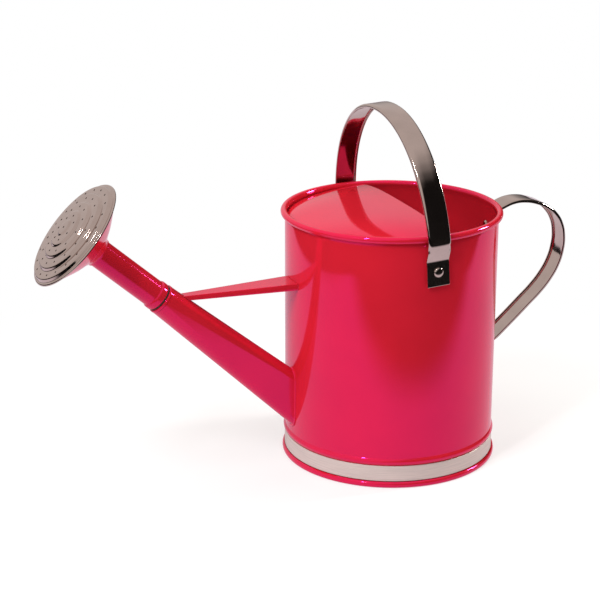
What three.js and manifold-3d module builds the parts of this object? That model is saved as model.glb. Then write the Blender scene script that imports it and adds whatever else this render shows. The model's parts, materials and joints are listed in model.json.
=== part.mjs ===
// Five-litre sheet-steel watering can: painted body and spout, nickel-plated strap handles.
// Millimetres, +Z up. The spout points along -X and the rear handle along +X.
// Every piece is a separate closed solid, and touching pieces keep a small gap.
import * as THREE from 'three';
import { mergeVertices } from 'three/addons/utils/BufferGeometryUtils.js';
import Module from 'manifold-3d';

const wasm = await Module();
wasm.setup();

// ---------- driving dimensions ----------
const GAP = 0.3; // clearance between touching pieces
const SHEET = 0.6; // thickness of the painted steel sheet
const ROUND = 48; // facets round the body
const SMALL_ROUND = 32; // facets round the spout and the rose

const BODY_RADIUS = 90; // outside of the wall
const BODY_HEIGHT = 216.8; // floor to the top of the rolled rim
const RIM_RADIUS = 90.8; // centre circle of the rolled rim
const RIM_TUBE = 2.84; // outside radius of the rolled rim's tube
const RIM_WIRE = 1.7; // radius of the wire inside the rolled rim

const BASE_RADIUS = 92.5; // outside of the bead that the can stands on
const BASE_BEAD = 5.3; // height of that bead
const PAN_HEIGHT = 8; // height of the bottom plate above the floor
const BAND_BOTTOM = 5.7;
const BAND_TOP = 19.2;
const BAND_RADIUS = 90.4; // outside of the bare metal band
const BAND_SHEET = 0.6;
const SWAGE_TOP = 25.6; // top of the pressed bead above the band
const SWAGE_DEPTH = 1.65; // how far that bead stands out

const HOOD_BACK = 8.5; // the hood's free edge lies this far behind the body's axis
const HOOD_CROWN = 4; // height of that edge above the rim
const HOOD_RADIUS = 87.6;
const HOOD_SEAT = 6; // the hood's round edge starts this far below the rim
const HOOD_EDGE_RISE = 4; // and climbs this much towards the free edge
const HOOD_DOME = 0.9; // under 1 the crown climbs faster near the spout
const HOOD_FLAT = 3.4; // an arch has 2; this is flatter on top and steeper at its sides

const SPOUT_START = new THREE.Vector3(-87.57, 0, 57.15); // a point on the spout's axis at the wall
const SPOUT_ANGLE = THREE.MathUtils.degToRad(41.45); // rise of the spout above level
const ROOT_HALF_HEIGHT = 19.46; // the spout is a tall oval at the wall and round at its end
const ROOT_HALF_WIDTH = 7;
const TIP_RADIUS = 12.8;
const CONE_END = 153.8; // distances along the spout's axis
const SEAL_START = 156.4;
const SEAL_END = 157.5;
const SOCKET_END = 163.4;
const SPIGOT_END = 172;
const ROSE_TUBE_RADIUS = 11.45;
const ROSE_NECK = 223;
const ROSE_PLANE = 248.4; // the rim of the rose
const ROSE_RADIUS = 48.15;
const ROSE_STEPS = [ // the face is a stepped dome: inside and outside radius of each riser, top height
  [5.5, 8.3, 10.3], [15, 17.8, 9.2], [24.5, 27.5, 7.7], [34.5, 37.5, 5.5], [43.5, 46.2, 2.9],
];
const ROSE_HOLE = 0.9; // radius of a water hole
const ROSE_HOLES = [ // ring radius, holes, degrees from the foot of the face to the first one
  [0, 1, 0], [11.6, 7, 43], [21.3, 11, 10], [31, 15, 18.7], [40.6, 20, 6.3],
];

const BRACE_TOP = [162.9, 161.1]; // height of the brace at the wall and at its far end
const BRACE_WIDTH = [25, 8.7];
const BRACE_DEPTH = [5.7, 4.2];
const BRACE_SHEET = 0.8;
const BRACE_REACH = 184; // distance of its far end from the body's axis
const BRACE_TAB = 5; // height of the tab that is welded to the wall
const BRACE_CUT = [60, 150]; // the part of the spout that the brace is cut to

const STRAP_SHEET = 1.2; // thickness of the handle straps at their ends
const RIVET_SHANK = 2;
const RIVET_HEAD = 4.2;
const RIVET_HEAD_HEIGHT = 2.4;
const RIVET_TAIL = 3.4; // radius of the flattened end inside the can
const RIVET_TAIL_HEIGHT = 1.5;
const WASHER_RADIUS = 5;

const PIVOT_HEIGHT = 186.5; // carry handle's rivets
const CARRY_TILT = THREE.MathUtils.degToRad(3.7); // it stands a little towards the spout
const CARRY_WIDTH = 19.6;
const CARRY_HALF = 100; // half width across the outside of its arch
const CARRY_RISE = 118.6; // top of the arch above the rivets
const CARRY_SPRING = 6; // the arch is widest this far above the rivets
const CARRY_POWER = 2.07; // an ellipse has 2; this arch is a little squarer
const CARRY_PLATE = 92.4; // outside face of its end plates
const CARRY_PLATE_ENDS = [-12, 9.5];
const CARRY_JOG_TOP = 26; // the arch starts this far above the rivets

const REAR_WIDTH = 21;
const REAR_RIVETS = [193, 74];
const REAR_ROUTE = [ // x and z of the outside of its loop, top foot first
  [91.3, 203.6], [94.8, 207.8], [101, 210.9], [110.9, 214], [122.5, 214.2], [134.6, 211.3],
  [145.5, 206.2], [154.2, 199], [160.5, 189.2], [163.3, 177.5], [162.7, 164], [158.6, 150.6],
  [151.3, 138.3], [141.7, 127.2], [131, 117.4], [120.7, 108], [110.8, 99.2], [98, 88.2],
];

// ---------- helpers ----------
const paint = { color: 0xd81b56, roughness: 0.28, metalness: 0 };
const nickel = { color: 0xb9aaa4, roughness: 0.12, metalness: 1 };
const satin = { color: 0xb9aaa4, roughness: 0.5, metalness: 1 };
const steel = { color: 0x9a9a98, roughness: 0.4, metalness: 1 };
const rubber = { color: 0x35322f, roughness: 0.7, metalness: 0 };

function piece(name, geometry, finish) {
  const mesh = new THREE.Mesh(geometry, new THREE.MeshStandardMaterial(finish));
  mesh.name = name;
  return mesh;
}

// A three.js geometry as a solid that can be cut and joined, and back again.
function toSolid(geometry) {
  const bare = new THREE.BufferGeometry();
  bare.setAttribute('position', geometry.getAttribute('position').clone());
  if (geometry.index) bare.setIndex(geometry.index.clone());
  const merged = mergeVertices(bare, 1e-4);
  return new wasm.Manifold(new wasm.Mesh({
    numProp: 3,
    vertProperties: new Float32Array(merged.getAttribute('position').array),
    triVerts: new Uint32Array(merged.index.array),
  }));
}

function toGeometry(solid) {
  const mesh = solid.getMesh();
  const geometry = new THREE.BufferGeometry();
  geometry.setAttribute('position', new THREE.BufferAttribute(mesh.vertProperties, 3));
  geometry.setIndex(new THREE.BufferAttribute(mesh.triVerts, 1));
  return geometry;
}

const cut = (geometry, ...tools) =>
  toGeometry(tools.reduce((solid, tool) => solid.subtract(toSolid(tool)), toSolid(geometry)));
const join = (first, second) => toGeometry(toSolid(first).add(toSolid(second)));

// Points of an arc, angles in degrees.
function arc(x, y, radius, from, to, steps) {
  return Array.from({ length: steps + 1 }, (_, i) => {
    const angle = THREE.MathUtils.degToRad(from + ((to - from) * i) / steps);
    return [x + radius * Math.cos(angle), y + radius * Math.sin(angle)];
  });
}

// The closed outline of a sheet of this thickness that follows a path of [radius, height].
function sheetOutline(path, thickness) {
  const points = path.map(([x, y]) => new THREE.Vector2(x, y));
  const side = (sign) => points.map((point, i) => {
    const before = point.clone().sub(points[Math.max(i - 1, 0)]).normalize();
    const after = points[Math.min(i + 1, points.length - 1)].clone().sub(point).normalize();
    const along = before.clone().add(after).normalize();
    const mitre = Math.max(along.dot(i === 0 ? after : before), 0.5);
    const reach = (sign * thickness) / 2 / mitre;
    return new THREE.Vector2(Math.max(point.x - along.y * reach, 0), point.y + along.x * reach);
  });
  return [...side(-1), ...side(1).reverse()];
}

// Turns a closed outline about +Z.
function revolve(outline, facets) {
  const points = THREE.ShapeUtils.area(outline) > 0 ? outline : [...outline].reverse();
  const onAxis = points.findIndex((p, i) => p.x === 0 && points.at(i - 1).x === 0);
  const loop = onAxis < 0 ? [...points, points[0]] : [...points.slice(onAxis), ...points.slice(0, onAxis)];
  return new THREE.LatheGeometry(loop, facets).rotateX(Math.PI / 2);
}

const revolveSheet = (path, thickness, facets) => revolve(sheetOutline(path, thickness), facets);
const ring = (inside, outside, bottom, top, facets) => revolve([
  new THREE.Vector2(outside, bottom), new THREE.Vector2(outside, top),
  new THREE.Vector2(inside, top), new THREE.Vector2(inside, bottom),
], facets);

// A plug about +Z that is used as a cutting tool.
const plug = (bottomRadius, topRadius, bottom, top, facets) => revolve([
  new THREE.Vector2(0, bottom), new THREE.Vector2(bottomRadius, bottom),
  new THREE.Vector2(topRadius, top), new THREE.Vector2(0, top),
], facets);

// Joins rings that have the same number of points into a closed body. The flat outline of
// one ring says how to fill the two ends.
function loft(rings, endOutline) {
  const count = rings[0].length;
  const indices = [];
  for (let r = 0; r < rings.length - 1; r++) {
    for (let i = 0; i < count; i++) {
      const [a, b] = [r * count + i, r * count + ((i + 1) % count)];
      indices.push(a, b, b + count, a, b + count, a + count);
    }
  }
  const last = (rings.length - 1) * count;
  const clockwise = THREE.ShapeUtils.isClockWise(endOutline);
  for (const face of THREE.ShapeUtils.triangulateShape(endOutline, [])) {
    const [a, b, c] = clockwise ? [...face].reverse() : face;
    indices.push(a, c, b, a + last, b + last, c + last);
  }
  const points = rings.flat();
  if (signedVolume(points, indices) < 0) indices.reverse();
  const geometry = new THREE.BufferGeometry().setFromPoints(points);
  geometry.setIndex(indices);
  return geometry;
}

function signedVolume(points, indices) {
  let sum = 0;
  for (let i = 0; i < indices.length; i += 3) {
    const [a, b, c] = [points[indices[i]], points[indices[i + 1]], points[indices[i + 2]]];
    sum += a.dot(b.clone().cross(c)) / 6;
  }
  return sum;
}

// ---------- body ----------
const wallMiddle = BODY_RADIUS - SHEET / 2;
const recess = BAND_RADIUS - BAND_SHEET - GAP - SHEET / 2; // wall middle behind the band
const rimCentre = BODY_HEIGHT - RIM_TUBE;

const swage = Array.from({ length: 5 }, (_, i) => [
  THREE.MathUtils.lerp(recess, wallMiddle, i / 4) + SWAGE_DEPTH * Math.sin((Math.PI * i) / 4),
  THREE.MathUtils.lerp(BAND_TOP + 0.1, SWAGE_TOP, i / 4),
]);

const spoutPlace = new THREE.Matrix4()
  .makeRotationY(SPOUT_ANGLE - Math.PI / 2)
  .setPosition(SPOUT_START);
// A solid of the spout's outer shape, made this much larger: an upright oval with half-round
// ends at the wall that turns into a circle at the tip.
function spoutSolid(grow, from, to) {
  const oval = (along) => {
    const t = along / CONE_END;
    const end = THREE.MathUtils.lerp(ROOT_HALF_WIDTH, TIP_RADIUS, t) + grow;
    const straight = Math.max((ROOT_HALF_HEIGHT - ROOT_HALF_WIDTH) * (1 - t), 0);
    return Array.from({ length: SMALL_ROUND }, (_, i) => {
      const turn = (2 * Math.PI * (i + 0.5)) / SMALL_ROUND;
      const side = Math.sign(Math.cos(turn)) * straight;
      return new THREE.Vector3(end * Math.cos(turn) + side, end * Math.sin(turn), along);
    });
  };
  const rings = [oval(from), oval(to)];
  return loft(rings, rings[0].map((p) => new THREE.Vector2(p.x, p.y)));
}

// A hole along the line from the axis out through the wall.
const wallHole = (radius, angle, height) =>
  plug(radius, radius, BODY_RADIUS - 5, BODY_RADIUS + 8, 10)
    .rotateY(Math.PI / 2).rotateZ(angle).translate(0, 0, height);
const pivotHoles = [-1, 1].map((s) => wallHole(RIVET_SHANK + GAP, (s * Math.PI) / 2, PIVOT_HEIGHT));
const rearHoles = REAR_RIVETS.map((height) => wallHole(RIVET_SHANK + GAP, 0, height));

function bodyShell() {
  const wall = revolveSheet([
    [recess, 1.6], ...swage, [wallMiddle, rimCentre - 6],
    ...arc(RIM_RADIUS, rimCentre, RIM_TUBE - SHEET / 2, 207, -110, 8),
  ], SHEET, ROUND);
  const spoutBore = spoutSolid(-SHEET, -12, 30).applyMatrix4(spoutPlace);
  return cut(wall, spoutBore, ...pivotHoles, ...rearHoles);
}

function rimWire() {
  const section = arc(RIM_RADIUS, rimCentre, RIM_WIRE, 0, 315, 7).map((p) => new THREE.Vector2(...p));
  return revolve(section, ROUND);
}

// Bottom plate: a recessed disc, a flange down inside the wall, and a bead round the wall's edge.
function basePan() {
  const flange = recess - SHEET - GAP;
  const edge = BASE_RADIUS - SHEET / 2;
  return revolveSheet([
    [0, PAN_HEIGHT], [flange - 1, PAN_HEIGHT], [flange, PAN_HEIGHT - 1], [flange, 1.2],
    [flange + 0.8, SHEET / 2], [edge - 1.3, SHEET / 2], [edge - 0.3, 1.1], [edge, BASE_BEAD / 2],
    [edge - 0.5, BASE_BEAD - 1.1], [edge - 1.7, BASE_BEAD - SHEET / 2],
  ], SHEET, ROUND);
}

// Half cover over the spout side of the mouth: a dished sheet with a raised free edge.
function hood() {
  const [across, along] = [14, 12]; // facets
  const [firstRow, spread] = [0.012, 1.35]; // rows lie closer together at the spout side
  const backEdge = HOOD_BACK + HOOD_RADIUS;
  const height = (x, v) => {
    const t = (x + HOOD_RADIUS) / backEdge;
    const seat = BODY_HEIGHT - HOOD_SEAT;
    const edge = seat + HOOD_EDGE_RISE * t * t;
    const crown = seat + (HOOD_CROWN + HOOD_SEAT) * Math.sin((t * Math.PI) / 2) ** HOOD_DOME;
    return edge + (crown - edge) * (1 - Math.abs(v) ** HOOD_FLAT);
  };
  const rings = [];
  for (let i = 0; i <= along; i++) {
    const x = -HOOD_RADIUS + backEdge * THREE.MathUtils.lerp(firstRow, 1, (i / along) ** spread);
    const reach = Math.sqrt(HOOD_RADIUS ** 2 - x ** 2);
    const row = (drop) => Array.from({ length: across + 1 }, (_, j) => {
      const v = Math.sin((Math.PI / 2) * ((2 * j) / across - 1));
      return new THREE.Vector3(x, v * reach, height(x, v) - drop);
    });
    rings.push([...row(SHEET), ...row(0).reverse()]);
  }
  const end = rings[0].map((p) => new THREE.Vector2(p.y, p.z));
  return loft(rings, end);
}

// ---------- spout, along its own +Z ----------
const wallInSpoutFrame = (radius) =>
  plug(radius, radius, -60, 300, ROUND).applyMatrix4(spoutPlace.clone().invert());

const spoutCone = () => cut(spoutSolid(0, -35, CONE_END), spoutSolid(-SHEET, -40, CONE_END + 5),
  wallInSpoutFrame(BODY_RADIUS + GAP));

// Pressed end fitting: a skirt that meets the cone, a shoulder, and the spigot for the rose.
function spoutFerrule() {
  const skirt = TIP_RADIUS - 0.1;
  const spigot = ROSE_TUBE_RADIUS - SHEET - GAP - 0.05 - SHEET / 2;
  const shoulder = SEAL_START - GAP - SHEET / 2;
  return revolveSheet([
    [skirt, CONE_END + GAP], [skirt, shoulder - 0.4], [skirt - 0.4, shoulder],
    [spigot, shoulder], [spigot, SPIGOT_END],
  ], SHEET, SMALL_ROUND);
}

const sealRing = () => ring(ROSE_TUBE_RADIUS - SHEET, 12.1, SEAL_START, SEAL_END, SMALL_ROUND);

function roseTube() {
  const tube = ROSE_TUBE_RADIUS - SHEET / 2;
  const socket = tube + 1.05;
  return revolveSheet([
    [tube + 0.5, SEAL_END + GAP], [socket, SEAL_END + 1], [socket, SOCKET_END - 0.8],
    [tube, SOCKET_END + 0.6], [tube, ROSE_NECK + 1],
  ], SHEET, SMALL_ROUND);
}

// Spun back of the rose, soldered round the end of its tube.
function roseShell() {
  const neck = ROSE_TUBE_RADIUS + GAP + SHEET / 2;
  return revolveSheet([
    [neck, ROSE_NECK - 0.6], [neck + 0.4, ROSE_NECK + 1.4], [17.2, ROSE_PLANE - 20],
    [28.2, ROSE_PLANE - 14], [38.6, ROSE_PLANE - 7], [44.4, ROSE_PLANE - 2.9], [46.5, ROSE_PLANE - 1.3],
  ], SHEET, SMALL_ROUND);
}

function roseFace() {
  const base = ROSE_PLANE - SHEET / 2;
  const steps = ROSE_STEPS.flatMap(([inside, outside, height], i) => [
    [inside, base + height], [outside, base + (ROSE_STEPS[i + 1]?.[2] ?? 0)],
  ]);
  const edge = ROSE_RADIUS - SHEET / 2;
  const face = revolveSheet([
    [0, base + ROSE_STEPS[0][2]], ...steps, [edge - 0.7, base], [edge, base - 0.6], [edge, base - 1.2],
  ], SHEET, SMALL_ROUND);
  const drills = ROSE_HOLES.flatMap(([radius, count, first]) => Array.from({ length: count }, (_, i) => {
    const angle = THREE.MathUtils.degToRad(first - 90 + (360 * i) / count);
    return plug(ROSE_HOLE, ROSE_HOLE, ROSE_PLANE - 4, ROSE_PLANE + 14, 5)
      .translate(radius * Math.cos(angle), radius * Math.sin(angle), 0);
  }));
  return cut(face, ...drills);
}

// Folded channel between the wall and the spout, with a tab that follows the wall.
function brace() {
  const section = (x) => {
    const t = (x - BODY_RADIUS) / (BRACE_REACH - BODY_RADIUS);
    const at = ([wall, far]) => THREE.MathUtils.lerp(wall, far, t);
    const [half, top, depth] = [at(BRACE_WIDTH) / 2, at(BRACE_TOP), at(BRACE_DEPTH)];
    const inner = half - BRACE_SHEET;
    return [[-half, -depth], [-half, 0], [half, 0], [half, -depth], [inner, -depth],
      [inner, -BRACE_SHEET], [-inner, -BRACE_SHEET], [-inner, -depth]]
      .map(([y, z]) => new THREE.Vector3(-x, y, top + z));
  };
  const rings = [section(BODY_RADIUS - 6), section(BRACE_REACH + 7)];
  const channel = loft(rings, rings[0].map((p) => new THREE.Vector2(p.y, p.z)));
  const tabTurn = Math.asin(BRACE_WIDTH[0] / 2 / BODY_RADIUS);
  const tabShape = new THREE.Shape()
    .absarc(0, 0, BODY_RADIUS + GAP + BRACE_SHEET, Math.PI - tabTurn, Math.PI + tabTurn, false)
    .absarc(0, 0, BODY_RADIUS - 3, Math.PI + tabTurn, Math.PI - tabTurn, true);
  const tab = new THREE.ExtrudeGeometry(tabShape, {
    depth: BRACE_TAB + BRACE_SHEET, bevelEnabled: false, curveSegments: 6,
  }).translate(0, 0, BRACE_TOP[0] - BRACE_SHEET);
  return cut(join(channel, tab),
    plug(BODY_RADIUS + GAP, BODY_RADIUS + GAP, PAN_HEIGHT, BODY_HEIGHT, ROUND),
    spoutSolid(GAP, ...BRACE_CUT).applyMatrix4(spoutPlace));
}

// ---------- strap handles ----------
// Half of the strap's section, from the middle of its outside face round to the middle of its
// inside face: distance in from the edge, depth where the edge is rolled, depth where it is flat.
const STRAP_SECTION = [
  [null, 0, 0], [0.9, 0.35, 0], [0, 1.3, 0.1], [0.1, 2.3, STRAP_SHEET - 0.1], [1.1, 2.9, STRAP_SHEET],
  [2.5, 2.6, STRAP_SHEET], [3, 1.3, STRAP_SHEET], [null, 1.1, STRAP_SHEET],
];

function strapOutline(width, rolled) {
  const half = STRAP_SECTION.map(([inset, deep, flat]) => new THREE.Vector2(
    inset === null ? 0 : width / 2 - inset,
    THREE.MathUtils.lerp(flat, deep, rolled),
  ));
  const mirrored = half.slice(1, -1).reverse().map((p) => new THREE.Vector2(-p.x, p.y));
  return [...half, ...mirrored];
}

// Sweeps the strap along stations of its outside face. Each has a place, the direction to its
// inside, and how far its edges are rolled (0 to 1).
function strap(stations, width, across) {
  const rings = stations.map(({ at, inward, rolled }) => strapOutline(width, rolled).map((p) =>
    at.clone().addScaledVector(across, p.x).addScaledVector(inward, p.y)));
  return loft(rings, strapOutline(width, stations[0].rolled));
}

// Stations from points of a flat path, with the inside on the left of the way along it.
function stationsOf(points, rolledAt) {
  return points.map((at, i) => {
    const ahead = points[Math.min(i + 1, points.length - 1)].clone();
    const along = ahead.sub(points[Math.max(i - 1, 0)]).normalize();
    return { at, along, rolled: rolledAt(i) };
  });
}

// Carry handle in its own frame: the rivets on the Y axis, the arch upwards.
function carryHandle() {
  const archRise = CARRY_RISE - CARRY_SPRING;
  const archHalf = (z) =>
    CARRY_HALF * (1 - ((z - CARRY_SPRING) / archRise) ** CARRY_POWER) ** (1 / CARRY_POWER);
  const steps = 20;
  const limb = [
    [CARRY_PLATE, CARRY_PLATE_ENDS[0], 0], [CARRY_PLATE, CARRY_PLATE_ENDS[1], 0],
    [CARRY_PLATE + 1, CARRY_PLATE_ENDS[1] + 2.5, 0], [CARRY_PLATE + 4.6, CARRY_JOG_TOP - 6, 0.15],
    [archHalf(CARRY_JOG_TOP - 1.5) - 0.4, CARRY_JOG_TOP - 1.5, 0.8],
  ];
  const start = Math.asin((CARRY_JOG_TOP + 2 - CARRY_SPRING) / archRise);
  for (let i = 0; i <= steps; i++) {
    const z = CARRY_SPRING + archRise * Math.sin(THREE.MathUtils.lerp(start, Math.PI / 2, i / steps));
    limb.push([i === steps ? 0 : archHalf(z), z, 1]);
  }
  const whole = [...limb.map(([y, z, k]) => [-y, z, k]), ...limb.slice(0, -1).reverse()];
  const points = whole.map(([y, z]) => new THREE.Vector3(0, y, z));
  const stations = stationsOf(points, (i) => whole[i][2]);
  for (const s of stations) s.inward = new THREE.Vector3(0, s.along.z, -s.along.y);
  const holes = [-1, 1].map((side) => plug(RIVET_SHANK + GAP, RIVET_SHANK + GAP, 85, 100, 10)
    .rotateX((side * Math.PI) / 2));
  return cut(strap(stations, CARRY_WIDTH, new THREE.Vector3(1, 0, 0)), ...holes);
}

// The strap's outside face lies against the wall at the upper foot and faces away at the lower.
const rearFootFace = BODY_RADIUS + GAP + STRAP_SHEET;

function rearHandle() {
  const [upper, lower] = REAR_RIVETS;
  const back = BODY_RADIUS + GAP;
  const route = [
    [back, upper - 8], [back, upper + 6.5], ...REAR_ROUTE,
    [rearFootFace + 0.7, lower + 10], [rearFootFace, lower + 7], [rearFootFace, lower - 8],
  ];
  const points = route.map(([x, z]) => new THREE.Vector3(x, 0, z));
  const rolledAt = (i) => THREE.MathUtils.clamp((Math.min(i, points.length - 1 - i) - 2) / 2, 0, 1);
  const stations = stationsOf(points, rolledAt);
  for (const s of stations) s.inward = new THREE.Vector3(s.along.z, 0, -s.along.x);
  return cut(strap(stations, REAR_WIDTH, new THREE.Vector3(0, 1, 0)), ...rearHoles);
}

// ---------- rivets and washers, along +Z outwards from the body's axis ----------
function rivet(face) {
  const inside = BODY_RADIUS - SHEET - GAP - 0.4;
  const seat = face + GAP;
  const outline = [
    [0, inside - RIVET_TAIL_HEIGHT], [RIVET_TAIL - 1, inside - RIVET_TAIL_HEIGHT + 0.2],
    [RIVET_TAIL, inside], [RIVET_SHANK, inside],
    [RIVET_SHANK, seat], [RIVET_HEAD, seat], [RIVET_HEAD * 0.86, seat + RIVET_HEAD_HEIGHT * 0.55],
    [RIVET_HEAD * 0.5, seat + RIVET_HEAD_HEIGHT * 0.92], [0, seat + RIVET_HEAD_HEIGHT],
  ].map((p) => new THREE.Vector2(...p));
  return revolve(outline, 10);
}

const washer = () =>
  ring(RIVET_SHANK + GAP, WASHER_RADIUS, BODY_RADIUS + GAP, CARRY_PLATE - STRAP_SHEET - GAP, 12);

// Lays a piece that was made along +Z out from the body's axis at this angle and height.
function placeOut(mesh, angle, height) {
  mesh.rotation.set(0, Math.PI / 2, 0);
  const turned = new THREE.Group();
  turned.rotation.z = angle;
  turned.position.z = height;
  turned.add(mesh);
  return turned;
}

// ---------- the assembly ----------
const can = new THREE.Group();
can.add(
  piece('body_shell', bodyShell(), paint),
  piece('rim_wire', rimWire(), steel),
  piece('base_pan', basePan(), paint),
  piece('base_band', ring(BAND_RADIUS - BAND_SHEET, BAND_RADIUS, BAND_BOTTOM, BAND_TOP, ROUND), satin),
  piece('hood', hood(), paint),
  piece('spout_brace', brace(), paint),
  piece('rear_handle', rearHandle(), nickel),
);

const spout = new THREE.Group();
spoutPlace.decompose(spout.position, spout.quaternion, spout.scale);
spout.add(
  piece('spout_cone', spoutCone(), paint),
  piece('spout_ferrule', spoutFerrule(), paint),
  piece('seal_ring', sealRing(), rubber),
  piece('rose_tube', roseTube(), paint),
  piece('rose_shell', roseShell(), paint),
  piece('rose_face', roseFace(), nickel),
);
can.add(spout);

const carry = new THREE.Group();
carry.position.z = PIVOT_HEIGHT;
carry.rotation.y = -CARRY_TILT;
carry.add(piece('carry_handle', carryHandle(), nickel));
can.add(carry);

for (const [side, angle] of [['near', -Math.PI / 2], ['far', Math.PI / 2]]) {
  can.add(placeOut(piece(`carry_rivet_${side}`, rivet(CARRY_PLATE), nickel), angle, PIVOT_HEIGHT));
  can.add(placeOut(piece(`carry_washer_${side}`, washer(), steel), angle, PIVOT_HEIGHT));
}
for (const [i, place] of ['upper', 'lower'].entries()) {
  can.add(placeOut(piece(`rear_rivet_${place}`, rivet(rearFootFace), nickel), 0, REAR_RIVETS[i]));
}

// The origin is on the floor under the middle of the whole can.
const box = new THREE.Box3().setFromObject(can, true);
can.position.x = -(box.min.x + box.max.x) / 2;
const part = new THREE.Group();
part.add(can);

export default part;
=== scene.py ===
"""A painted sheet-steel watering can with nickel-plated strap handles and a pull-off rose.

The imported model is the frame. Each visible sheet is modelled again round it at full
smoothness, with the same sizes, and takes a procedural finish.
"""
import json
import math

import bmesh
import bpy
from bpy.props import FloatProperty, FloatVectorProperty, IntProperty, PointerProperty
from mathutils import Matrix, Vector


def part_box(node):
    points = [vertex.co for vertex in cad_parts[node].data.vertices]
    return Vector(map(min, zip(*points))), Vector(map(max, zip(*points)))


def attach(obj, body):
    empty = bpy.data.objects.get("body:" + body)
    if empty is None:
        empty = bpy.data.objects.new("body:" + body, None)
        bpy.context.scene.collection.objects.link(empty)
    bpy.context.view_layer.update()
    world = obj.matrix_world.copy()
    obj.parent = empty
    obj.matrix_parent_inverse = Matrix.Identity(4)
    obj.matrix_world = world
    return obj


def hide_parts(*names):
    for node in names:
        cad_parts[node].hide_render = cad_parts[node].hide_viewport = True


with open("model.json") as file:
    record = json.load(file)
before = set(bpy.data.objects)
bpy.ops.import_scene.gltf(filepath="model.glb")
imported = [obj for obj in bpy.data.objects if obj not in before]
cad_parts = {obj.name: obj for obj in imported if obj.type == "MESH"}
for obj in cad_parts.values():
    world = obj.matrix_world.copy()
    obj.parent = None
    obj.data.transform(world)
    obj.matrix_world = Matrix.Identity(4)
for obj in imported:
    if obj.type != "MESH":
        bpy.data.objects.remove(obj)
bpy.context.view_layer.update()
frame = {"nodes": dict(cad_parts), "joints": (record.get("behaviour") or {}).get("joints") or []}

bl_info = {
    "name": "Watering can",
    "version": (1, 0, 0),
    "blender": (4, 5, 0),
    "location": "View3D > Sidebar > Watering can",
    "description": "Models a sheet-metal watering can round its packed frame",
    "category": "Mesh",
}

MM = 0.001
WALL_LOW, WALL_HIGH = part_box("body_shell")
AXIS_X = (WALL_LOW.x + WALL_HIGH.x) / 2  # the body stands round this vertical line
PULL = next(Vector(j["axis"]) for j in frame["joints"] if j["name"] == "rose_pull")
PIVOT_Z = next(j["pos_m"][2] for j in frame["joints"] if j["name"] == "carry_swing")
SPOUT_ANGLE = math.asin(PULL.z)
ON_AXIS = 0.0005 * MM  # a turned outline ends this far from its axis
SAME_PLACE = 1e-7  # metres; points closer than this are one place
MERGE_AT = 1e-6  # metres; vertices closer than this are merged
SMOOTH_TO = 35  # degrees; faces that meet at less are shaded as one surface
STRAP_SMOOTH_TO = 40  # the same for the handle straps


# ---------- sizes and colours ----------
def length(name, description, default, **more):
    return FloatProperty(name=name, description=description, default=default,
                         subtype="DISTANCE", unit="LENGTH", **more)


def colour(name, description, default):
    return FloatVectorProperty(name=name, description=description, default=default,
                               size=3, subtype="COLOR", min=0, max=1)


def linear(hex_colour):
    """An sRGB hex colour as linear values."""
    parts = [int(hex_colour[i:i + 2], 16) / 255 for i in (1, 3, 5)]
    return tuple(p / 12.92 if p <= 0.04045 else ((p + 0.055) / 1.055) ** 2.4 for p in parts)


class CanSizes(bpy.types.PropertyGroup):
    sheet: length("Sheet", "Thickness of the painted sheet", 0.6 * MM)
    radius: length("Radius", "Outside radius of the wall", 90 * MM)
    height: length("Height", "Floor to the top of the rolled rim", WALL_HIGH.z)
    rim_circle: length("Rim circle", "Centre circle of the rolled rim", 90.8 * MM)
    rim_tube: length("Rim tube", "Outside radius of the rolled rim's tube", 2.84 * MM)
    swage: length("Swage", "How far the pressed bead above the band stands out", 1.65 * MM)
    around: IntProperty(name="Facets", description="Facets round the body", default=160, min=24)


class SpoutSizes(bpy.types.PropertyGroup):
    root_height: length("Root height", "Half height of the spout's oval at the wall", 19.46 * MM)
    root_width: length("Root width", "Half width of the spout's oval at the wall", 7 * MM)
    tip_radius: length("Tip radius", "Outside radius at the round end", 12.8 * MM)
    cone_end: length("Cone end", "Length of the spout along its axis", 153.8 * MM)
    tube_radius: length("Rose tube", "Outside radius of the rose's tube", 11.45 * MM)
    rose_plane: length("Rose plane", "Distance along the spout to the rose's rim", 248.4 * MM)
    rose_radius: length("Rose radius", "Outside radius of the rose", 48.15 * MM)
    around: IntProperty(name="Facets", description="Facets round the spout", default=96, min=24)


class HandleSizes(bpy.types.PropertyGroup):
    strap: length("Strap", "Thickness of the handle straps", 1.2 * MM)
    carry_width: length("Carry width", "Width of the carry handle's strap", 19.6 * MM)
    rear_width: length("Rear width", "Width of the rear handle's strap", 21 * MM)
    roll: length("Roll", "Depth of the straps' rolled edges", 2.9 * MM)
    edge_bend: length("Edge bend", "Radius of the straps' rolled edges", 2.1 * MM)


class Finishes(bpy.types.PropertyGroup):
    enamel: colour("Enamel", "Colour of the paint", linear("#C61F2D"))
    sheen: colour("Sheen", "Colour of the paint's own mirror", (1, 0, 0.4))
    nickel: colour("Nickel", "Colour of the plated metal", linear("#C4B4AD"))
    band: colour("Band", "Colour of the brushed band", linear("#D6C7C0"))
    steel: colour("Steel", "Colour of the zinc-coated steel", linear("#A3A39F"))
    rubber: colour("Rubber", "Colour of the seal", linear("#2E2A28"))


# ---------- modelling helpers ----------
def start(name):
    """A new mesh object of one vertex at the origin, open in edit mode."""
    if bpy.context.object and bpy.context.object.mode != "OBJECT":
        bpy.ops.object.mode_set(mode="OBJECT")
    bpy.ops.object.select_all(action="DESELECT")
    bpy.ops.mesh.primitive_plane_add(size=0.01, location=(0, 0, 0))
    piece = bpy.context.object
    piece.name = piece.data.name = name
    bpy.ops.object.mode_set(mode="EDIT")
    bpy.ops.mesh.select_mode(type="VERT")
    bpy.ops.mesh.merge(type="CENTER")
    return piece


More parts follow.
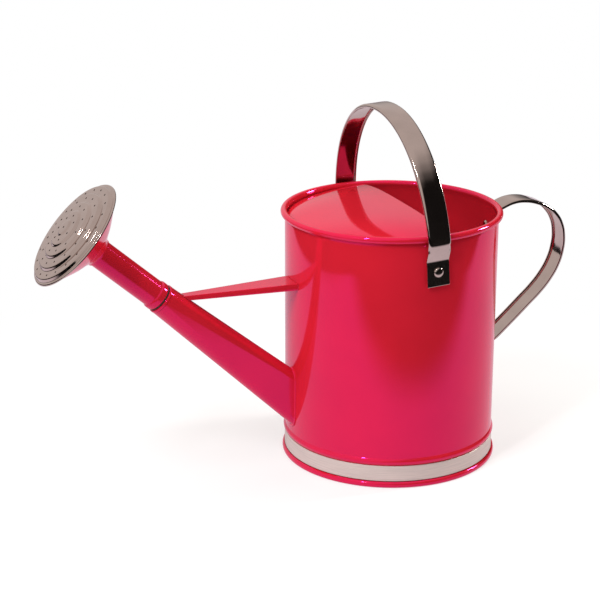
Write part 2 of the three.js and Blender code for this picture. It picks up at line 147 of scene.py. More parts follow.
def trace(points, closed=False):
    """Draws a line by extruding the one vertex from point to point."""
    here = Vector(points[0])
    bpy.ops.transform.translate(value=here)
    for point in points[1:]:
        bpy.ops.mesh.extrude_region_move(TRANSFORM_OT_translate={"value": Vector(point) - here})
        here = Vector(point)
    bpy.ops.mesh.select_all(action="SELECT")
    if closed:
        ends(points)
        bpy.ops.mesh.edge_face_add()
        bpy.ops.mesh.select_all(action="SELECT")


def ends(points):
    """Selects the first and last vertices of a traced line."""
    edit = bmesh.from_edit_mesh(bpy.context.object.data)
    tips = [Vector(point) for point in (points[0], points[-1])]
    for vert in edit.verts:
        vert.select = any((vert.co - tip).length < SAME_PLACE for tip in tips)
    edit.select_flush_mode()
    bmesh.update_edit_mesh(bpy.context.object.data)


def select_where(test):
    """Selects the vertices that pass a test of their place."""
    edit = bmesh.from_edit_mesh(bpy.context.object.data)
    for vert in edit.verts:
        vert.select = test(vert.co)
    edit.select_flush(True)
    bmesh.update_edit_mesh(bpy.context.object.data)


def modifier(piece, kind, **settings):
    """Adds a modifier with its settings and applies it."""
    bpy.context.view_layer.objects.active = piece
    made = piece.modifiers.new(kind.title(), kind)
    for key, value in settings.items():
        setattr(made, key, value)
    bpy.ops.object.modifier_apply(modifier=made.name)


def close_up():
    """Merges doubles and turns the faces the same way."""
    bpy.ops.mesh.select_all(action="SELECT")
    bpy.ops.mesh.remove_doubles(threshold=MERGE_AT)
    bpy.ops.mesh.normals_make_consistent(inside=False)
    bpy.ops.object.mode_set(mode="OBJECT")


def lathe(name, profile, around, thickness=0.0):
    """Spins a profile of (radius, height) about Z. With a thickness, the profile is the middle of
    a sheet and gets half of it on each side. Without one, it is a closed outline."""
    piece = start(name)
    trace([(r, 0, z) for r, z in profile], closed=not thickness)
    bpy.ops.mesh.spin(steps=around, angle=2 * math.pi, center=(0, 0, 0), axis=(0, 0, 1))
    close_up()
    if thickness:
        modifier(piece, "SOLIDIFY", thickness=thickness, offset=0, use_even_offset=True)
    return piece


def place(piece, matrix):
    """Moves a finished piece and leaves its object at the origin."""
    piece.data.transform(matrix)
    piece.data.update()


def smooth(piece, angle=SMOOTH_TO):
    bpy.ops.object.select_all(action="DESELECT")
    piece.select_set(True)
    bpy.context.view_layer.objects.active = piece
    bpy.ops.object.shade_smooth_by_angle(angle=math.radians(angle))


def dress(piece, body, slot, angle=SMOOTH_TO):
    """Smooths a piece, gives it its finish and sets the body it moves with."""
    smooth(piece, angle)
    piece.data.materials.clear()
    piece.data.materials.append(finish_of(slot))
    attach(piece, body)


def finish_piece(piece, body, slot, nodes, angle=SMOOTH_TO):
    """Dresses a piece that stands for nodes of the frame."""
    dress(piece, body, slot, angle)
    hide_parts(*nodes)


def turned_piece(name, profile, around, to, body, slot, nodes, thickness=0.0):
    """A turned piece, set in its place and finished."""
    piece = lathe(name, profile, around, thickness)
    place(piece, to)
    finish_piece(piece, body, slot, nodes)


def cut_away(piece, tool, operation="DIFFERENCE"):
    modifier(piece, "BOOLEAN", operation=operation, solver="EXACT", object=tool)
    bpy.data.objects.remove(tool)


def turn(x, y, radius, first, last, steps):
    """Points of an arc, angles in degrees."""
    return [(x + radius * math.cos(math.radians(first + (last - first) * i / steps)),
             y + radius * math.sin(math.radians(first + (last - first) * i / steps)))
            for i in range(steps + 1)]


def rounded(points, radius, steps=4):
    """A polyline with each inner corner turned into a small curve."""
    out = [points[0]]
    for before, corner, after in zip(points, points[1:], points[2:]):
        a, b, c = Vector(before), Vector(corner), Vector(after)
        reach = min(radius, (a - b).length * 0.45, (c - b).length * 0.45)
        p, q = b + (a - b).normalized() * reach, b + (c - b).normalized() * reach
        for i in range(steps + 1):
            t = i / steps
            out.append(tuple((1 - t) ** 2 * p + 2 * t * (1 - t) * b + t * t * q))
    return out + [points[-1]]


def blend(first, last, t):
    return first + (last - first) * t


TO_BODY = Matrix.Translation((AXIS_X, 0, 0))
SPOUT_START = Vector((AXIS_X - 87.57 * MM, 0, 57.15 * MM))
TO_SPOUT = Matrix.Translation(SPOUT_START) @ Matrix.Rotation(SPOUT_ANGLE - math.pi / 2, 4, "Y")


# ---------- materials ----------
def add(tree, kind, inputs=(), **settings):
    """Adds a node with its settings, and its inputs as values or as links from other sockets."""
    node = tree.nodes.new("ShaderNode" + kind)
    for key, value in settings.items():
        setattr(node, key, value)
    for key, value in dict(inputs).items():
        if isinstance(value, bpy.types.NodeSocket):
            tree.links.new(value, node.inputs[key])
        else:
            node.inputs[key].default_value = value
    return node


def new_material(name):
    material = bpy.data.materials.new(name)
    material.use_nodes = True
    tree = material.node_tree
    shader = tree.nodes["Principled BSDF"]
    place_of = add(tree, "TexCoord").outputs["Object"]
    return material, tree, shader, place_of


def ramp(tree, factor, low, high, first=0.0, last=1.0):
    node = add(tree, "ValToRGB", {"Fac": factor})
    node.color_ramp.elements[0].position = first
    node.color_ramp.elements[1].position = last
    node.color_ramp.elements[0].color = (*low, 1)
    node.color_ramp.elements[1].color = (*high, 1)
    return node.outputs["Color"]


def shade(rgb, factor):
    return tuple(min(c * factor, 1) for c in rgb)


def per_mm(size):
    """Texture scale for a pattern whose features are this many millimetres."""
    return 1 / (size * MM)


def mottle(tree, shader, factor, tone, dark, light, first=0.3, last=0.7):
    """Varies the base colour between a darker and a lighter shade of one tone."""
    tree.links.new(ramp(tree, factor, shade(tone, dark), shade(tone, light), first, last),
                   shader.inputs["Base Color"])


def roughen(tree, shader, factor, low, high):
    rough = add(tree, "MapRange", {"Value": factor, "To Min": low, "To Max": high})
    tree.links.new(rough.outputs["Result"], shader.inputs["Roughness"])


def emboss(tree, shader, height, strength, depth):
    """Bumps of a depth in millimetres."""
    bump = add(tree, "Bump", {"Height": height, "Strength": strength, "Distance": depth * MM})
    tree.links.new(bump.outputs["Normal"], shader.inputs["Normal"])


def enamel_paint():
    """Sprayed and baked candy enamel: red in depth with a wet gloss that mirrors in magenta, a
    faint orange peel, and slight changes of depth where the coat is thicker."""
    material, tree, shader, where = new_material("baked_enamel")
    tone = bpy.context.scene.can_finishes.enamel
    cloud = add(tree, "TexNoise", {"Vector": where, "Scale": per_mm(60), "Detail": 3})
    mottle(tree, shader, cloud.outputs["Fac"], tone, 0.93, 1.05)
    peel = add(tree, "TexNoise", {"Vector": where, "Scale": per_mm(5), "Detail": 1})
    emboss(tree, shader, peel.outputs["Fac"], 0.05, 0.05)
    roughen(tree, shader, cloud.outputs["Fac"], 0.07, 0.1)
    shader.inputs["IOR"].default_value = 2.5
    shader.inputs["Coat Weight"].default_value = 0.2
    shader.inputs["Coat Roughness"].default_value = 0.05
    shader.inputs["Specular Tint"].default_value = (*bpy.context.scene.can_finishes.sheen, 1)
    return material


def nickel_plate():
    """Polished steel strap under warm nickel plate: it mirrors the room, with faint polishing
    lines and a trace of haze."""
    material, tree, shader, where = new_material("polished_nickel")
    tone = bpy.context.scene.can_finishes.nickel
    haze = add(tree, "TexNoise", {"Vector": where, "Scale": per_mm(14), "Detail": 4})
    mottle(tree, shader, haze.outputs["Fac"], tone, 0.94, 1.04)
    roughen(tree, shader, haze.outputs["Fac"], 0.06, 0.13)
    lines = add(tree, "TexNoise", {"Vector": where, "Scale": per_mm(3), "Detail": 1})
    emboss(tree, shader, lines.outputs["Fac"], 0.02, 0.02)
    shader.inputs["Metallic"].default_value = 1
    return material


def brushed_metal():
    """Bare band brushed round the can: fine level lines, matt, and lighter where they catch."""
    material, tree, shader, where = new_material("brushed_band")
    tone = bpy.context.scene.can_finishes.band
    # The real lines are about 0.1 mm apart; 0.5 mm is the finest that shows.
    stretch = add(tree, "Mapping", {"Vector": where, "Scale": (0.02, 0.02, 1)})
    lines = add(tree, "TexNoise", {"Vector": stretch.outputs["Vector"], "Scale": per_mm(0.5),
                                   "Detail": 3})
    mottle(tree, shader, lines.outputs["Fac"], tone, 0.86, 1.08)
    roughen(tree, shader, lines.outputs["Fac"], 0.42, 0.56)
    emboss(tree, shader, lines.outputs["Fac"], 0.15, 0.05)
    shader.inputs["Metallic"].default_value = 0.5
    return material


def zinc_steel():
    """Zinc-coated steel: a dull grey with the coat's faint crystals."""
    material, tree, shader, where = new_material("zinc_coated_steel")
    tone = bpy.context.scene.can_finishes.steel
    crystals = add(tree, "TexVoronoi", {"Vector": where, "Scale": per_mm(1.5)})
    mottle(tree, shader, crystals.outputs["Distance"], tone, 0.85, 1.1, 0.0, 1.0)
    shader.inputs["Metallic"].default_value = 1
    shader.inputs["Roughness"].default_value = 0.42
    return material


def seal_rubber():
    """Moulded rubber: near black, matt, with a fine grain."""
    material, tree, shader, where = new_material("moulded_rubber")
    tone = bpy.context.scene.can_finishes.rubber
    grain = add(tree, "TexNoise", {"Vector": where, "Scale": per_mm(0.6), "Detail": 3})
    mottle(tree, shader, grain.outputs["Fac"], tone, 0.8, 1.3)
    emboss(tree, shader, grain.outputs["Fac"], 0.3, 0.1)
    shader.inputs["Roughness"].default_value = 0.65
    return material


MAKERS = {"pink_paint": enamel_paint, "bright_nickel": nickel_plate, "brushed_band": brushed_metal,
          "plain_steel": zinc_steel, "dark_rubber": seal_rubber}
made_materials = {}


def finish_of(slot):
    if slot not in made_materials:
        made_materials[slot] = MAKERS[slot]()
    return made_materials[slot]


# ---------- the body ----------
def spout_oval(along, grow, count):
    """The spout's section at a distance along it: an upright oval that turns into a circle."""
    sizes = bpy.context.scene.spout_sizes
    t = along / sizes.cone_end
    end = blend(sizes.root_width, sizes.tip_radius, t) + grow
    straight = max((sizes.root_height - sizes.root_width) * (1 - t), 0)
    points = []
    for i in range(count):
        angle = 2 * math.pi * (i + 0.5) / count
        side = math.copysign(straight, math.cos(angle))
        points.append(Vector((end * math.cos(angle) + side, end * math.sin(angle), along)))
    return points


def spout_body(name, grow, first, last, capped=True):
    """The spout's tapering outer shape between two distances along it, by bridging two ovals."""
    count = bpy.context.scene.spout_sizes.around
    piece = start(name)
    mesh = piece.data
    bpy.ops.mesh.delete(type="VERT")
    for along in (first, last):
        bpy.ops.mesh.primitive_circle_add(vertices=count, radius=0.01)
        edit = bmesh.from_edit_mesh(mesh)
        ring = sorted((v for v in edit.verts if v.select),
                      key=lambda v: math.atan2(v.co.y, v.co.x) % (2 * math.pi))
        for vert, point in zip(ring, spout_oval(along, grow, count)):
            vert.co = point
        bmesh.update_edit_mesh(mesh)
        bpy.ops.mesh.select_all(action="DESELECT")
    bpy.ops.mesh.select_all(action="SELECT")
    bpy.ops.mesh.bridge_edge_loops()
    if capped:
        for along in (first, last):
            select_where(lambda co, level=along: abs(co.z - level) < SAME_PLACE)
            bpy.ops.mesh.edge_face_add()
    close_up()
    return piece


def round_tool(radius, first, last, matrix, sides=96):
    bpy.ops.object.select_all(action="DESELECT")
    bpy.ops.mesh.primitive_cylinder_add(vertices=sides, radius=radius, depth=last - first,
                                        location=(0, 0, (first + last) / 2))
    tool = bpy.context.object
    bpy.ops.object.transform_apply()
    place(tool, matrix)
    return tool


class CAN_OT_body(bpy.types.Operator):
    """The wall, with its rolled rim and the pressed bead above the band"""
    bl_idname = "can.body"
    bl_label = "Body"

    def execute(self, context):
        sizes = context.scene.can_sizes
        middle = sizes.radius - sizes.sheet / 2
        recess = middle - 0.5 * MM  # the wall's radius behind the band
        rim_z = sizes.height - sizes.rim_tube
        bead_foot, bead_tall, steps = 19.3, 6.3, 16
        bead = [(blend(recess, middle, i / steps) + sizes.swage * math.sin(math.pi * i / steps),
                 (bead_foot + bead_tall * i / steps) * MM) for i in range(steps + 1)]
        curl_start, curl_end = 207, -110
        curl = turn(sizes.rim_circle, rim_z, sizes.rim_tube - sizes.sheet / 2,
                    curl_start, curl_end, 32)
        plain = [(middle, z) for z in (60 * MM, 120 * MM, 180 * MM, rim_z - 6 * MM)]
        profile = [(recess, 1.6 * MM), (recess, 10 * MM), *bead, *plain, *curl]
        wall = lathe("body_wall", profile, sizes.around, sizes.sheet)
        place(wall, TO_BODY)
        bore = spout_body("spout_bore", -sizes.sheet, -12 * MM, 30 * MM)
        place(bore, TO_SPOUT)
        cut_away(wall, bore)
        finish_piece(wall, "can", "pink_paint", ["body_shell"])
        return {"FINISHED"}


class CAN_OT_base(bpy.types.Operator):
    """The recessed bottom with the bead that the can stands on, and the bare metal band"""
    bl_idname = "can.base"
    bl_label = "Base"

    def execute(self, context):
        sizes = context.scene.can_sizes
        plate, foot, corner = 8 * MM, 0.3 * MM, 0.7 * MM
        path = rounded([(ON_AXIS, plate), (87.3 * MM, plate), (88.3 * MM, 7 * MM),
                        (88.3 * MM, 1.2 * MM), (89.1 * MM, foot), (90.9 * MM, foot),
                        (91.9 * MM, 1.1 * MM), (92.2 * MM, 2.65 * MM), (91.7 * MM, 4.2 * MM),
                        (90.5 * MM, 5 * MM)], corner)
        turned_piece("bottom_pan", path, sizes.around, TO_BODY, "can", "pink_paint", ["base_pan"],
                     sizes.sheet)
        low, high, inside, outside, edge = 5.7 * MM, 19.2 * MM, 89.8 * MM, 90.4 * MM, 0.25 * MM
        section = [(inside, low), (outside - edge, low), (outside, low + edge),
                   (outside, high - edge), (outside - edge, high), (inside, high)]
        turned_piece("metal_band", section, sizes.around, TO_BODY, "can", "brushed_band",
                     ["base_band"])
        return {"FINISHED"}


class CAN_OT_hood(bpy.types.Operator):
    """The dished half cover over the spout side of the mouth"""
    bl_idname = "can.hood"
    bl_label = "Hood"

    def execute(self, context):
        sizes = context.scene.can_sizes
        radius, back, across, along = 87.6 * MM, 8.5 * MM, 64, 48
        seat, edge_rise, crown_rise = 6 * MM, 4 * MM, 10 * MM
        crowding, first_row = 1.35, 0.005  # rows stand closer near the spout
        roundness, flatness = 0.9, 3.4  # of the dish along the can and across it
        low = sizes.height - seat
        bpy.ops.object.select_all(action="DESELECT")
        bpy.ops.mesh.primitive_grid_add(x_subdivisions=along, y_subdivisions=across, size=2)
        hood = bpy.context.object
        hood.name = hood.data.name = "half_hood"
        for vert in hood.data.vertices:
            t = blend(first_row, 1, ((vert.co.x + 1) / 2) ** crowding)
            v = math.sin(math.pi / 2 * vert.co.y)
            x = -radius + (back + radius) * t
            reach = math.sqrt(radius ** 2 - x ** 2)
            edge = low + edge_rise * t * t
            crown = low + crown_rise * math.sin(t * math.pi / 2) ** roundness
            vert.co = (x + AXIS_X, v * reach, blend(edge, crown, 1 - abs(v) ** flatness))
        modifier(hood, "SOLIDIFY", thickness=sizes.sheet, offset=-1, use_even_offset=True)
        finish_piece(hood, "can", "pink_paint", ["hood"])
        return {"FINISHED"}


# ---------- the spout and the rose ----------
class CAN_OT_spout(bpy.types.Operator):
    """The tapering spout, the solder where it meets the wall, and its end fitting"""
    bl_idname = "can.spout"
    bl_label = "Spout"

    def execute(self, context):
        sizes = context.scene.spout_sizes
        sheet = context.scene.can_sizes.sheet
        # it starts inside the can and is trimmed to the wall, 0.1 mm clear of it
        root, trim = -35 * MM, 90.1 * MM
        cone = spout_body("spout", 0, root, sizes.cone_end)
        cut_away(cone, spout_body("spout_inside", -sheet, root - 10 * MM, sizes.cone_end + 5 * MM))
        place(cone, TO_SPOUT)
        cut_away(cone, round_tool(trim, -50 * MM, 300 * MM, TO_BODY, sides=160))
        finish_piece(cone, "can", "pink_paint", ["spout_cone"])
        self.solder()
        shoulder, spigot, skirt = 155.8 * MM, 10.2 * MM, 12.7 * MM
        path = rounded([(skirt, 154.1 * MM), (skirt, shoulder), (spigot, shoulder),
                        (spigot, 172 * MM)], 0.5 * MM)
        turned_piece("spout_end_fitting", path, sizes.around, TO_SPOUT, "can", "pink_paint",
                     ["spout_ferrule"], sheet)
        return {"FINISHED"}

    def solder(self):
        """A run of solder where the spout meets the wall, followed round the joint. Each point is
        found by halving a line along the spout until it meets the wall."""
        wall, lift, count, halvings = 90.15 * MM, 0.1 * MM, 96, 40
        run = []
        for low, high in zip(spout_oval(-35 * MM, lift, count), spout_oval(60 * MM, lift, count)):
            near, far = TO_SPOUT @ low, TO_SPOUT @ high
            first, last = 0.0, 1.0
            for _ in range(halvings):
                middle = (first + last) / 2
                point = near.lerp(far, middle)
                inside = math.hypot(point.x - AXIS_X, point.y) < wall
                first, last = (middle, last) if inside else (first, middle)
            run.append(near.lerp(far, first))
        bpy.ops.object.select_all(action="DESELECT")
        bpy.ops.curve.primitive_bezier_circle_add()
        guide = bpy.context.object
        guide.name = "spout_solder"
        spline = guide.data.splines[0]
        spline.bezier_points.add(len(run) - len(spline.bezier_points))
        for point, at in zip(spline.bezier_points, run):
            point.co = at
            point.handle_left_type = point.handle_right_type = "AUTO"
        guide.data.resolution_u = 3
        guide.data.bevel_depth = 1.1 * MM
        guide.data.bevel_resolution = 3
        bpy.ops.object.convert(target="MESH")
        bead = bpy.context.object
        bead.data.name = "spout_solder"
        dress(bead, "can", "pink_paint")


class CAN_OT_rose(bpy.types.Operator):
    """The seal, and the rose with its tube, its spun back and its stepped, pierced face"""
    bl_idname = "can.rose"
    bl_label = "Rose"

    def execute(self, context):
        sizes = context.scene.spout_sizes
        sheet = context.scene.can_sizes.sheet
        plane, tube = sizes.rose_plane, sizes.tube_radius - sheet / 2
        seal_bore = 10.85 * MM
        bulge = turn(11.6 * MM, 156.95 * MM, 0.55 * MM, -90, 90, 8)
        section = [(seal_bore, 156.4 * MM), *bulge, (seal_bore, 157.5 * MM)]
        turned_piece("seal", section, sizes.around, TO_SPOUT, "seal", "dark_rubber", ["seal_ring"])
        collar = tube + 1.05 * MM
        path = rounded([(tube + 0.5 * MM, 157.8 * MM), (collar, 158.5 * MM), (collar, 162.6 * MM),
                        (tube, 164 * MM), (tube, 224 * MM)], 0.9 * MM)
        turned_piece("rose_neck", path, sizes.around, TO_SPOUT, "rose", "pink_paint",
                     ["rose_tube"], sheet)
        back = rounded([(12.05 * MM, 222.4 * MM), (12.45 * MM, 224.4 * MM),
                        (17.2 * MM, plane - 20 * MM), (28.2 * MM, plane - 14 * MM),
                        (38.6 * MM, plane - 7 * MM), (44.4 * MM, plane - 2.9 * MM),
                        (46.5 * MM, plane - 1.3 * MM)], 4 * MM, 6)
        turned_piece("rose_back", back, sizes.around, TO_SPOUT, "rose", "pink_paint",
                     ["rose_shell"], sheet)
        base, rim = plane - sheet / 2, sizes.rose_radius - sheet / 2
        # each step ends at a radius and stands at a height over the rim, in millimetres
        steps = [(6.9, 10.3), (16.4, 9.2), (26, 7.7), (36, 5.5), (44.85, 2.9)]
        half_riser = 0.75
        outline = [(ON_AXIS, base + steps[0][1] * MM)]
        for (radius, high), (_, after) in zip(steps, [*steps[1:], (rim, 0)]):
            outline += [((radius - half_riser) * MM, base + high * MM),
                        ((radius + half_riser) * MM, base + after * MM)]
        outline += [(rim - 0.7 * MM, base), (rim, base - 0.6 * MM), (rim, base - 1.2 * MM)]
        face = lathe("rose_face_plate", rounded(outline, 0.9 * MM, 5), sizes.around, sheet)
        # rings of holes: radius in millimetres, number, and where the first one stands in degrees
        rings = ((0, 1, 0), (11.6, 7, 43), (21.3, 11, 10), (31, 15, 18.7), (40.6, 20, 6.3))
        hole, below, above = 0.9 * MM, plane - 4 * MM, plane + 14 * MM
        drills = []
        for radius, count, phase in rings:
            for i in range(count):
                angle = math.radians(phase - 90 + 360 * i / count)
                across = (radius * MM * math.cos(angle), radius * MM * math.sin(angle), 0)
                drills.append(round_tool(hole, below, above, Matrix.Translation(across), sides=16))
        bpy.ops.object.select_all(action="DESELECT")
        for drill in drills:
            drill.select_set(True)
        bpy.context.view_layer.objects.active = drills[0]
        bpy.ops.object.join()
        cut_away(face, bpy.context.object)
        place(face, TO_SPOUT)
        finish_piece(face, "rose", "bright_nickel", ["rose_face"])
        return {"FINISHED"}


class CAN_OT_brace(bpy.types.Operator):
    """The folded channel between the wall and the spout"""
    bl_idname = "can.brace"
    bl_label = "Brace"

    def execute(self, context):
        near, far = 84 * MM, 191 * MM
        taper_start, taper_length = 90 * MM, 94 * MM

        def section(x):
            t = (x - taper_start) / taper_length
            half = blend(25, 8.7, t) / 2 * MM
            top = blend(162.9, 161.1, t) * MM
            foot = top - blend(5.7, 4.2, t) * MM
            return [(-x, -half, foot), (-x, -half, top), (-x, half, top), (-x, half, foot)]

        channel = start("spout_brace_channel")
        first, last = section(near), section(far)
        trace(first)
        bpy.ops.mesh.extrude_region_move(TRANSFORM_OT_translate={"value": (near - far, 0, 0)})
        edit = bmesh.from_edit_mesh(channel.data)
        for vert in edit.verts:
            if vert.co.x < MERGE_AT - far:
                corner = min(range(4), key=lambda k: (Vector(first[k]).yz - vert.co.yz).length)
                vert.co = last[corner]
        bmesh.update_edit_mesh(channel.data)
        close_up()
        modifier(channel, "SOLIDIFY", thickness=0.8 * MM, offset=-1, use_even_offset=True)
        modifier(channel, "BEVEL", width=0.35 * MM, segments=3, limit_method="ANGLE")
        place(channel, TO_BODY)
        clear_of_wall = 90.3 * MM
        cut_away(channel, round_tool(clear_of_wall, 100 * MM, 200 * MM, TO_BODY, sides=160))
        tool = spout_body("brace_cut", 0.2 * MM, 60 * MM, 150 * MM)
        place(tool, TO_SPOUT)
        cut_away(channel, tool)
        finish_piece(channel, "can", "pink_paint", ["spout_brace"])
        return {"FINISHED"}


# ---------- handles ----------
def strap(name, route, width, flat_ends):
    """A strap modelled straight and bent along a route of points in a level plane. Its edges are
    rolled towards the right of the way along the route, apart from a flat length at each end."""
    sizes = bpy.context.scene.handle_sizes
    bpy.ops.object.select_all(action="DESELECT")
    bpy.ops.curve.primitive_bezier_curve_add()
    guide = bpy.context.object
    spline = guide.data.splines[0]
    spline.bezier_points.add(len(route) - 2)
    for point, at in zip(spline.bezier_points, route):
        point.co = at
        point.handle_left_type = point.handle_right_type = "AUTO"
    guide.data.resolution_u = 24
    guide.data.twist_mode = "MINIMUM"
    guide.data.update_tag()
    bpy.context.view_layer.update()
    total = spline.calc_length()
    along, bend_steps = 400, 6
    middle_part = 0.35  # share of the half width that is one flat row of faces
    fade = 8 * MM  # length over which the rolled edges begin and end
    half = width / 2
    bend = sizes.edge_bend
    edge = [(half - bend + bend * math.sin(a), (1 - math.cos(a)) * bend / sizes.roll)
            for a in (math.pi / 2 * i / bend_steps for i in range(bend_steps + 1))]
    side = [(half * middle_part, 0), *edge, (half, 1.0)]
    side = [(across, drop, half * (middle_part + (1 - middle_part) * i / (len(side) - 1)))
            for i, (across, drop) in enumerate(side)]
    # each row: place across the strap, share of the full roll, and place where the strap is flat
    rows = [(-across, drop, -flat) for across, drop, flat in reversed(side)] + side
    bpy.ops.object.select_all(action="DESELECT")
    bpy.ops.mesh.primitive_grid_add(x_subdivisions=along, y_subdivisions=len(rows) - 1, size=2)
    piece = bpy.context.object
    piece.name = piece.data.name = name
    for vert in piece.data.vertices:
        x = (vert.co.x + 1) / 2 * total
        across, drop, flat = rows[round((vert.co.y + 1) / 2 * (len(rows) - 1))]
        ramp_in = min(max((x - flat_ends) / fade, 0), 1)
        ramp_out = min(max((total - flat_ends - x) / fade, 0), 1)
        rolled = min(ramp_in, ramp_out)
        vert.co = (x, -drop * sizes.roll * rolled, blend(flat, across, rolled))
    modifier(piece, "SOLIDIFY", thickness=sizes.strap, offset=1, use_even_offset=True)
    modifier(piece, "BEVEL", width=0.2 * MM, segments=2, limit_method="ANGLE",
             angle_limit=math.radians(50))
    modifier(piece, "CURVE", object=guide, deform_axis="POS_X")
    bpy.data.objects.remove(guide)
    smooth(piece, STRAP_SMOOTH_TO)
    bpy.ops.object.mode_set(mode="EDIT")
    close_up()
    return piece


class CAN_OT_carry_handle(bpy.types.Operator):
    """The carry handle that swings on two rivets"""
    bl_idname = "can.carry_handle"
    bl_label = "Carry handle"

    def execute(self, context):
        sizes = context.scene.handle_sizes
        half, rise, spring, power = 100 * MM, 118.6 * MM, 6 * MM, 2.07
        plate, steps, lean = 92.4 * MM, 20, 3.7

        def arch(z):
            return half * (1 - ((z - spring) / (rise - spring)) ** power) ** (1 / power)

        limb = [(plate, -12 * MM), (plate, -4 * MM), (plate, 4 * MM), (plate, 9.5 * MM),
                (plate + 1 * MM, 12 * MM), (plate + 4.6 * MM, 20 * MM),
                (arch(24.5 * MM) - 0.4 * MM, 24.5 * MM)]
        begin = math.asin((28 * MM - spring) / (rise - spring))
        for i in range(steps + 1):
            z = spring + (rise - spring) * math.sin(begin + (math.pi / 2 - begin) * i / steps)
            limb.append((0 if i == steps else arch(z), z))
        route = [Vector((-y, z, 0)) for y, z in limb] + [Vector((y, z, 0)) for y, z in limb[-2::-1]]
        handle = strap("carry_strap", route, sizes.carry_width, 30 * MM)
        # the route was drawn in a level plane: its X is across the can and its Y is up
        stand = Matrix(((0, 0, 1, 0), (1, 0, 0, 0), (0, 1, 0, 0), (0, 0, 0, 1)))
        tilt = Matrix.Rotation(-math.radians(lean), 4, "Y")
        place(handle, Matrix.Translation((AXIS_X, 0, PIVOT_Z)) @ tilt @ stand)
        finish_piece(handle, "carry", "bright_nickel", ["carry_handle"], STRAP_SMOOTH_TO)
        return {"FINISHED"}


class CAN_OT_rear_handle(bpy.types.Operator):
    """The fixed strap handle at the back"""
    bl_idname = "can.rear_handle"
    bl_label = "Rear handle"

    def execute(self, context):
        sizes = context.scene.handle_sizes
        # the loop's distance from the body's axis and its height, in millimetres
        loop = [(90.3, 185), (90.3, 192), (90.3, 199.5), (91.3, 203.6), (94.8, 207.8),
                (101, 210.9), (110.9, 214), (122.5, 214.2), (134.6, 211.3), (145.5, 206.2),
                (154.2, 199), (160.5, 189.2), (163.3, 177.5), (162.7, 164), (158.6, 150.6),
                (151.3, 138.3), (141.7, 127.2), (131, 117.4), (120.7, 108), (110.8, 99.2),
                (98, 88.2), (92.2, 84), (91.5, 81), (91.5, 73), (91.5, 66)]
        route = [Vector((x * MM, z * MM, 0)) for x, z in loop]
        handle = strap("rear_strap", route, sizes.rear_width, 20 * MM)
        stand = Matrix(((1, 0, 0, 0), (0, 0, 1, 0), (0, 1, 0, 0), (0, 0, 0, 1)))
        place(handle, TO_BODY @ stand)
        finish_piece(handle, "can", "bright_nickel", ["rear_handle"], STRAP_SMOOTH_TO)
        return {"FINISHED"}


class CAN_OT_rivets(bpy.types.Operator):
    """Four domed rivets"""
    bl_idname = "can.rivets"
    bl_label = "Rivets"

    def execute(self, context):
        # face is how far out the strap's outer side stands, in millimetres
        for name, node, face, angle, height in (
                ("rivet_near", "carry_rivet_near", 92.4, -90, PIVOT_Z),
                ("rivet_far", "carry_rivet_far", 92.4, 90, PIVOT_Z),
                ("rivet_upper", "rear_rivet_upper", 91.5, 0, 193 * MM),
                ("rivet_lower", "rear_rivet_lower", 91.5, 0, 74 * MM)):
            seat, inner = (face + 0.3) * MM, 89 * MM
            head, head_rise, flange, shank, tail = 4.2 * MM, 2.1 * MM, 0.3 * MM, 2 * MM, 3.4 * MM
            dome = [(head * math.cos(math.radians(a)),
                     seat + flange + head_rise * math.sin(math.radians(a)))
                    for a in range(0, 90, 9)]
            outline = [(ON_AXIS, inner - 1.5 * MM), (2.4 * MM, inner - 1.3 * MM), (tail, inner),
                       (shank, inner), (shank, seat), (head, seat), *dome,
                       (ON_AXIS, seat + 2.4 * MM)]
            rivet = lathe(name, outline, 40)
            level = Matrix.Rotation(math.pi / 2, 4, "Y")
            out = Matrix.Rotation(math.radians(angle), 4, "Z") @ level
            place(rivet, Matrix.Translation((AXIS_X, 0, height)) @ out)
            finish_piece(rivet, "can", "bright_nickel", [node])
        return {"FINISHED"}


class CAN_OT_hidden_steel(bpy.types.Operator):
    """The rim's wire and the handle's washers keep their own shapes and get their finish"""
    bl_idname = "can.hidden_steel"
    bl_label = "Wire and washers"

    def execute(self, context):
        for node in ("rim_wire", "carry_washer_near", "carry_washer_far"):
            materials = frame["nodes"][node].data.materials
            materials.clear()
            materials.append(finish_of("plain_steel"))
        return {"FINISHED"}


# ---------- the stage ----------
def soft_box(name, at, aim, size, power, tint, mirrored=True):
    bpy.ops.object.light_add(type="AREA", location=at)
    light = bpy.context.object
    light.name = name
    light.data.shape = "RECTANGLE"
    light.data.size, light.data.size_y = size
    light.data.energy = power
    light.data.color = tint
    light.visible_glossy = mirrored
    light.rotation_euler = (Vector(aim) - Vector(at)).to_track_quat("-Z", "Y").to_euler()


def seen_by(tree, ray):
    return add(tree, "LightPath").outputs[ray]


def slope(tree, where, direction, first, last, low, high):
    """A colour that changes from low to high along a direction."""
    along = add(tree, "VectorMath", {0: where, 1: direction}, operation="DOT_PRODUCT")
    span = add(tree, "MapRange", {"Value": along.outputs["Value"], "From Min": first,
                                  "From Max": last}, interpolation_type="SMOOTHSTEP")
    return ramp(tree, span.outputs["Result"], low, high)


